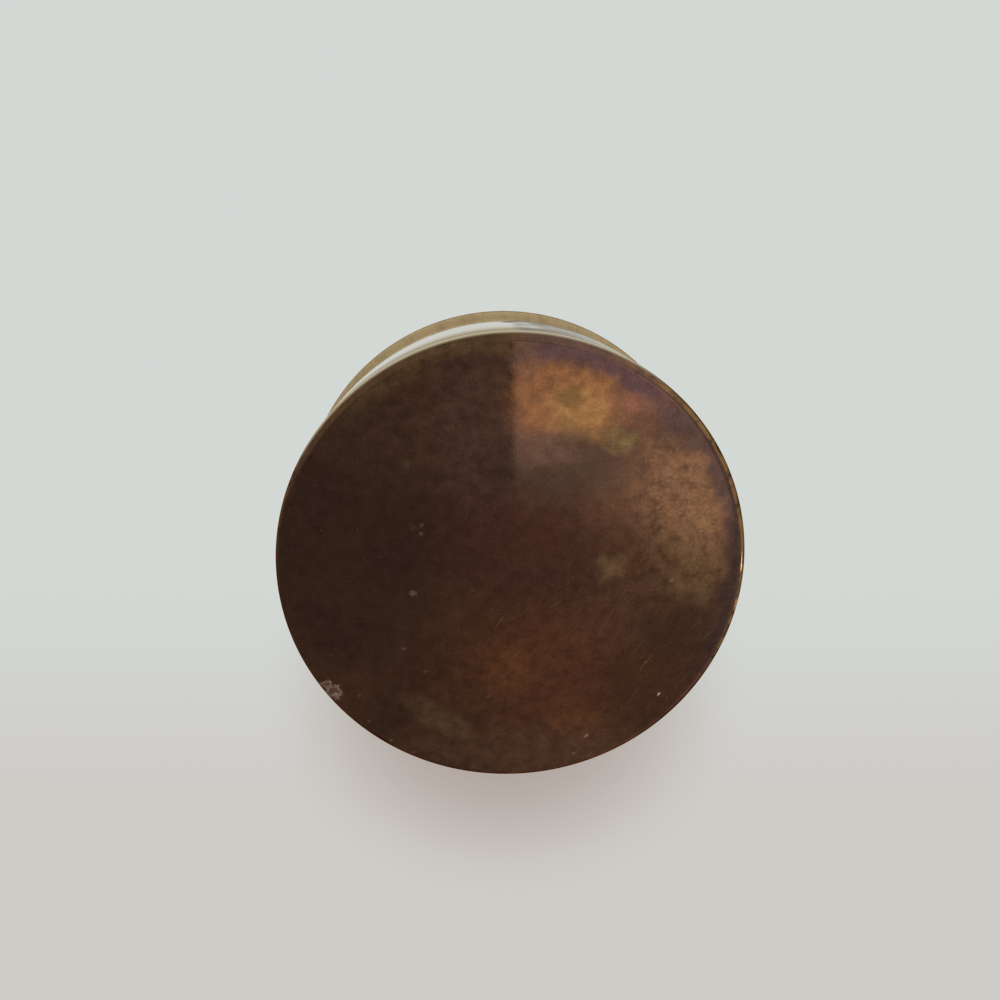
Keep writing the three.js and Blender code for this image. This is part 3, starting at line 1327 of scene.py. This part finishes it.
def add_sheet(
    name: str, paint: str, size: float, *hidden_from: Ray
) -> tuple[bpy.types.Object, bpy.types.NodeTree]:
    """Adds one square sheet of the studio at the origin.

    Args:
        name: name of the sheet.
        paint: name of its material.
        size: length of its sides in millimetres.
        hidden_from: light paths that don't meet it.

    Returns:
        The sheet, and the empty node tree of its material.
    """
    bpy.ops.object.select_all(action="DESELECT")
    bpy.ops.mesh.primitive_plane_add(size=size * MM)
    sheet = bpy.context.object
    sheet.name = name
    for ray in hidden_from:
        setattr(sheet, ray.value, False)
    material = bpy.data.materials.new(paint)
    sheet.data.materials.append(material)
    return sheet, empty_tree(material)


@dataclass
class Studio:
    """Camera, backdrop, floor and light. The camera stands below and looks up at the bottom."""

    # The lens in shares of the picture's width.
    LENS: ClassVar[float] = 0.85
    SENSOR: ClassVar[float] = 36.0
    camera_place: Place = (-6.19, -38.22, -101.12)
    camera_forward: Place = (0.0429, 0.2737, 0.9609)
    camera_down: Place = (0.0, 1.0, 0.0)
    nearest: float = 1.0
    backdrop_distance: float = 300.0
    backdrop_size: float = 380.0
    backdrop_grey: Pair = (-20.0, -110.0)
    backdrop_tones: tuple[str, str] = ("#d3d8d5", "#cfccc8")
    shadow: str = "#b1a59e"
    shadow_centre: Pair = (1.5, -67.1)
    shadow_radii: Pair = (88.0, 75.5)
    shadow_core: float = 0.3
    floor: str = "#d6d8d5"
    floor_size: float = 4000.0
    floor_drop: float = 0.2
    card: str = "#fffaf2"
    card_low: Place = (3.2, -30.0, -50.0)
    card_high: Place = (50.0, 27.0, -50.0)
    card_slant: float = -0.35
    card_fade: Pair = (7.85, -13.16)
    card_glow: float = 0.66
    lamps: tuple[Lamp, ...] = (
        Lamp("key_softbox", (-300, -360, 520), (350, 350), 3.2, mirrored=False),
        Lamp("edge_strip", (400, 126, -80), (20, 80), 0.05),
        Lamp("rim_fill", (-100, -400, -450), (400, 400), 6.0, mirrored=False),
    )

    def build(self) -> None:
        """Makes the camera, then what stands and shines round the box."""
        self.set_camera()
        self.hang_backdrop()
        self.lay_floor()
        self.set_world()
        for lamp in self.lamps:
            lamp.hang()
        self.hold_card()

    def axes(self) -> Matrix:
        """Works out the camera's place and turn.

        Returns:
            The matrix that takes the camera's own axes to the frame's.
        """
        forward = Vector(self.camera_forward).normalized()
        right = forward.cross(-Vector(self.camera_down)).normalized()
        up = right.cross(forward)
        turn = Matrix((right, up, -forward)).transposed().to_4x4()
        return Matrix.Translation(Vector(self.camera_place) * MM) @ turn

    def set_camera(self) -> None:
        """Adds the camera."""
        data = bpy.data.cameras.new("camera")
        data.sensor_width = self.SENSOR
        data.lens = self.SENSOR * self.LENS
        data.clip_start = self.nearest * MM
        camera = bpy.data.objects.new("camera", data)
        camera.matrix_world = self.axes()
        bpy.context.scene.collection.objects.link(camera)
        bpy.context.scene.camera = camera
        bpy.context.scene.view_settings.view_transform = "Standard"

    def hang_backdrop(self) -> None:
        """Hangs pale paper behind the lid, square to the camera, greyer on the side away from the window."""
        sheet, tree = add_sheet("backdrop", "backdrop_paper", self.backdrop_size, Ray.SHADOW)
        sheet.matrix_world = self.axes() @ Matrix.Translation((0, 0, -self.backdrop_distance * MM))
        place = add_node(tree, "ShaderNodeTexCoord", out="Object")
        height = add_node(tree, "ShaderNodeSeparateXYZ", {0: place}, out=1)
        start, end = (edge * MM for edge in self.backdrop_grey)
        grey = add_node(
            tree, "ShaderNodeMapRange", {0: height, 1: start, 2: end}, interpolation_type="SMOOTHSTEP"
        )
        # A soft shadow lies close under the box's lower edge.
        centre = [part * MM for part in (*self.shadow_centre, 0)]
        radii = [part * MM for part in (*self.shadow_radii, Coat.ENDLESS)]
        round_shadow = {"Vector": place, "Location": centre, "Scale": radii}
        local = add_node(tree, "ShaderNodeMapping", round_shadow, vector_type="TEXTURE")
        away = add_node(tree, "ShaderNodeVectorMath", {0: local}, out="Value", operation="LENGTH")
        fall = {0: away, 1: 1.0, 2: self.shadow_core}
        shadow = add_node(tree, "ShaderNodeMapRange", fall, interpolation_type="SMOOTHSTEP")
        light, dim = self.backdrop_tones
        tone: Socket | Colour = linear(light)
        for share, tint in ((grey, dim), (shadow, self.shadow)):
            tone = add_node(
                tree, "ShaderNodeMix", {0: share, 6: tone, 7: linear(tint)}, out=2, data_type="RGBA"
            )
        glow = add_node(tree, "ShaderNodeEmission", {"Color": tone})
        add_node(tree, "ShaderNodeOutputMaterial", {"Surface": glow})

    def lay_floor(self) -> None:
        """Lays a pale floor that is drawn only from above, because the camera stands below it."""
        hidden_from = (Ray.SHADOW, Ray.DIFFUSE, Ray.GLOSSY, Ray.TRANSMISSION)
        floor, tree = add_sheet("floor", "floor_paint", self.floor_size, *hidden_from)
        floor.location.z = -self.floor_drop * MM
        side = add_node(tree, "ShaderNodeNewGeometry", out="Backfacing")
        matt = add_node(tree, "ShaderNodeBsdfDiffuse", {"Color": linear(self.floor)})
        clear = add_node(tree, "ShaderNodeBsdfTransparent")
        cover = add_node(tree, "ShaderNodeMixShader", {0: side, 1: matt, 2: clear})
        add_node(tree, "ShaderNodeOutputMaterial", {"Surface": cover})

    def set_world(self) -> None:
        """Fills the room with soft light: pale above, a window low on -Y, a door on +X, and dim below."""
        world = bpy.data.worlds.new("room")
        bpy.context.scene.world = world
        tree = empty_tree(world)
        place = add_node(tree, "ShaderNodeTexCoord", out="Generated")
        x, y, z = add_node(tree, "ShaderNodeSeparateXYZ", {0: place}).node.outputs
        window, door, near_wall, ceiling = (
            add_node(
                tree, "ShaderNodeMapRange", {0: axis, 1: start, 2: end}, interpolation_type="SMOOTHSTEP"
            )
            for axis, start, end in ((y, 0.05, -0.25), (x, 0.3, 0.5), (x, -0.15, 0.4), (z, -0.2, 0.3))
        )
        openings = add_node(tree, "ShaderNodeMath", {0: window, 1: door}, operation="MAXIMUM")
        tone: Socket | Colour = linear("#93908c")
        for share, tint in ((near_wall, "#b2aca6"), (openings, "#d8d5d0"), (ceiling, "#dcdedc")):
            tone = add_node(
                tree, "ShaderNodeMix", {0: share, 6: tone, 7: linear(tint)}, out=2, data_type="RGBA"
            )
        sky = add_node(tree, "ShaderNodeBackground", {"Color": tone, "Strength": 1.0})
        add_node(tree, "ShaderNodeOutputWorld", {"Surface": sky})

    def hold_card(self) -> None:
        """Holds a lit card that the bottom mirrors: crisp at its left edge and fading out below."""
        hidden_from = (Ray.CAMERA, Ray.DIFFUSE, Ray.SHADOW, Ray.TRANSMISSION)
        card, tree = add_sheet("mirror_card", "mirror_card_paper", 1.0, *hidden_from)
        low, high = Vector(self.card_low), Vector(self.card_high)
        width, depth, _ = high - low
        bpy.ops.object.mode_set(mode="EDIT")
        bpy.ops.transform.resize(value=(width, depth, 1))
        bpy.ops.transform.translate(value=(low + high) / 2 * MM)
        bpy.ops.object.mode_set(mode="OBJECT")
        place = add_node(tree, "ShaderNodeTexCoord", out="Object")
        slant = {0: place, 1: (self.card_slant, 1, 0)}
        slope = add_node(tree, "ShaderNodeVectorMath", slant, out="Value", operation="DOT_PRODUCT")
        start, end = (edge * MM for edge in self.card_fade)
        fall = {0: slope, 1: start, 2: end, 4: self.card_glow}
        fade = add_node(tree, "ShaderNodeMapRange", fall, interpolation_type="SMOOTHSTEP")
        glow = add_node(tree, "ShaderNodeEmission", {"Color": linear(self.card), "Strength": fade})
        clear = add_node(tree, "ShaderNodeBsdfTransparent")
        both = add_node(tree, "ShaderNodeAddShader", {0: glow, 1: clear})
        add_node(tree, "ShaderNodeOutputMaterial", {"Surface": both})


def bottom_finish() -> TarnishedBrass:
    """Places the stains, scratches, specks and crusts of the bottom.

    Returns:
        The tarnish of the bottom.
    """
    pin_specks = ((-20.2, 17.1), (-19.0, 20.9), (-16.2, 23.8), (-13.3, 25.7), (-3.2, 17.5))
    return TarnishedBrass(
        "tarnished_spun_brass",
        stains=(
            Stain((-21.0, -4.0), (13.0, 17.0), "#523d34", 0.8, 0.7),
            Stain((-11.4, -19.5), (10.0, 8.0), "#6e5042", 0.7, 0.7),
            Stain((0.0, -4.2), (9.0, 8.0), "#68423b", 0.8, 0.7),
            Stain((-2.5, -18.7), (7.0, 9.0), "#75574b", 0.85, 0.6),
            Stain((4.5, 13.8), (14.0, 9.0), "#7a4d38", 0.85, 0.6),
            Stain((2.0, 26.5), (14.0, 4.0), "#785744", 0.8, 0.6),
            Stain((-0.2, 13.3), (3.2, 3.2), "#8e5b3c", 0.6, 0.6),
            Stain((7.7, 21.2), (3.0, 2.4), "#8a5a3a", 0.5, 0.6),
            Stain((14.5, 7.0), (6.0, 5.0), "#704e3e", 0.7, 0.6),
            Stain((21.3, -6.8), (5.8, 10.5), "#7a5942", 0.95, 0.55),
            Stain((22.4, -5.2), (2.6, 2.8), "#8c694c", 0.6, 0.7),
            Stain((23.2, 1.0), (3.6, 4.2), "#86694c", 0.7, 0.6),
            Stain((22.6, 9.2), (6.5, 4.5), "#574033", 1.0, 0.5),
            Stain((17.7, 16.4), (7.0, 6.0), "#563b2e", 0.8, 0.6),
            Stain((20.8, -18.7), (3.4, 2.6), "#4b3c38", 0.8, 0.5),
            Stain((5.8, -22.0), (7.2, 5.0), "#895d3e", 1.0, 0.35),
            Stain((7.8, -20.2), (3.6, 3.0), "#a0784b", 0.8, 0.6),
            Stain((7.0, -22.1), (1.5, 1.3), "#6b5234", 0.85, 0.5),
            Stain((15.4, -21.5), (3.2, 2.2), "#875b4a", 0.6, 0.7),
            Stain((6.0, -13.6), (8.0, 4.4), "#4d3d33", 0.85, 0.55),
            Stain((3.2, -15.8), (4.5, 2.0), "#684e42", 0.9, 0.5),
            Stain((13.1, -16.8), (2.0, 1.5), "#776442", 0.85, 0.6),
            Stain((12.6, -0.5), (1.5, 1.4), "#9e7e5c", 0.85, 0.85),
            Stain((-9.7, 20.8), (5.2, 1.4), "#826a4e", 0.6, 0.7, 35.0),
        ),
        scratches=(
            Scratch((-1.4, 15.1), (0.0, 13.5)),
            Scratch((-0.4, 12.5), (0.7, 11.3), strength=0.6),
            Scratch((-2.3, 7.8), (-1.2, 6.2), strength=0.6),
            Scratch((4.2, 5.6), (6.5, 3.8)),
            Scratch((10.7, 9.8), (14.2, 3.2), width=0.07),
            Scratch((16.8, 14.2), (18.3, 12.2), strength=0.7),
        ),
        specks=(
            Stain((-13.1, -14.1), (0.42, 0.5), "#7f6a52", 0.6, 0.8),
            Stain((-11.4, -6.3), (0.26, 0.24), "#8d7a68", 0.8, 0.7),
            Stain((-11.5, -5.2), (0.24, 0.22), "#8d7a68", 0.8, 0.7),
            Stain((-12.5, -6.0), (0.3, 0.34), "#6f5c4c", 0.6, 0.7),
            Stain((-12.8, 2.8), (0.38, 0.36), "#9a8a78", 0.8, 0.7),
            Stain((-14.1, 10.4), (0.26, 0.2), "#9a8a78", 0.8, 0.7),
            Stain((-11.4, 13.8), (0.26, 0.2), "#8d7a68", 0.7, 0.7),
            *(Stain(spot, (0.22, 0.18), "#8d7a68", 0.7, 0.7) for spot in pin_specks),
            Stain((19.6, 17.9), (0.28, 0.13), "#e0d2b8", 1.0, 0.6, -45.0),
            Stain((10.0, 23.8), (0.34, 0.15), "#c0a274", 0.9, 0.6, -45.0),
            Stain((8.3, 26.5), (0.24, 0.14), "#a08868", 0.8, 0.6),
            Stain((20.4, 1.6), (0.26, 0.2), "#a88a68", 0.7, 0.6),
        ),
        crusts=(
            Stain((-24.4, 15.3), (0.7, 0.65), "#64574a", 0.9, 0.35),
            Stain((-23.5, 16.3), (0.95, 0.9), "#64574a", 0.9, 0.35),
        ),
    )


def main() -> None:
    """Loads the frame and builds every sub-assembly on it."""
    logging.basicConfig(level=logging.INFO, format="%(message)s")
    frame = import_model()

    satin = SatinBrass("dull_turned_brass")
    # The dark ring round the rim's outer edge is painted shade.
    bloomed = SatinBrass("bloomed_brass", "#857555", "#716246", shine=0.15, dark_rings=((30.7, 0.3),))
    velvet = Velvet("cotton_velvet")
    wall = LacqueredBrass(
        "lacquered_brass_wall",
        # Dashes of painted reflected shadow near the top of the wall's front.
        painted_shadow_dashes=(
            Stain((0.2, 14.8), (1.0, 1.3), "#5c5650", 1.0, 0.5),
            Stain((4.0, 13.5), (1.3, 1.0), "#5c5650", 0.9, 0.5),
            Stain((6.9, 13.3), (0.8, 0.8), "#68625a", 0.8, 0.5),
        ),
    )
    lid_top = LacqueredBrass("lacquered_brass_lid", dark_rings=((28.7, 0.7), (27.3, 0.5), (5.6, 0.9)))
    turned = LacqueredBrass("lacquered_brass_knob", tarnish_share=0.2, dark_rings=((2.9, 0.5),))

    Studio().build()
    Cup(bottom_finish(), wall, satin).build()
    Lining(velvet).build()
    Lid(lid_top, bloomed, satin, velvet).build()
    Knob(turned, satin).build(frame["nodes"])


if __name__ == "__main__":
    main()
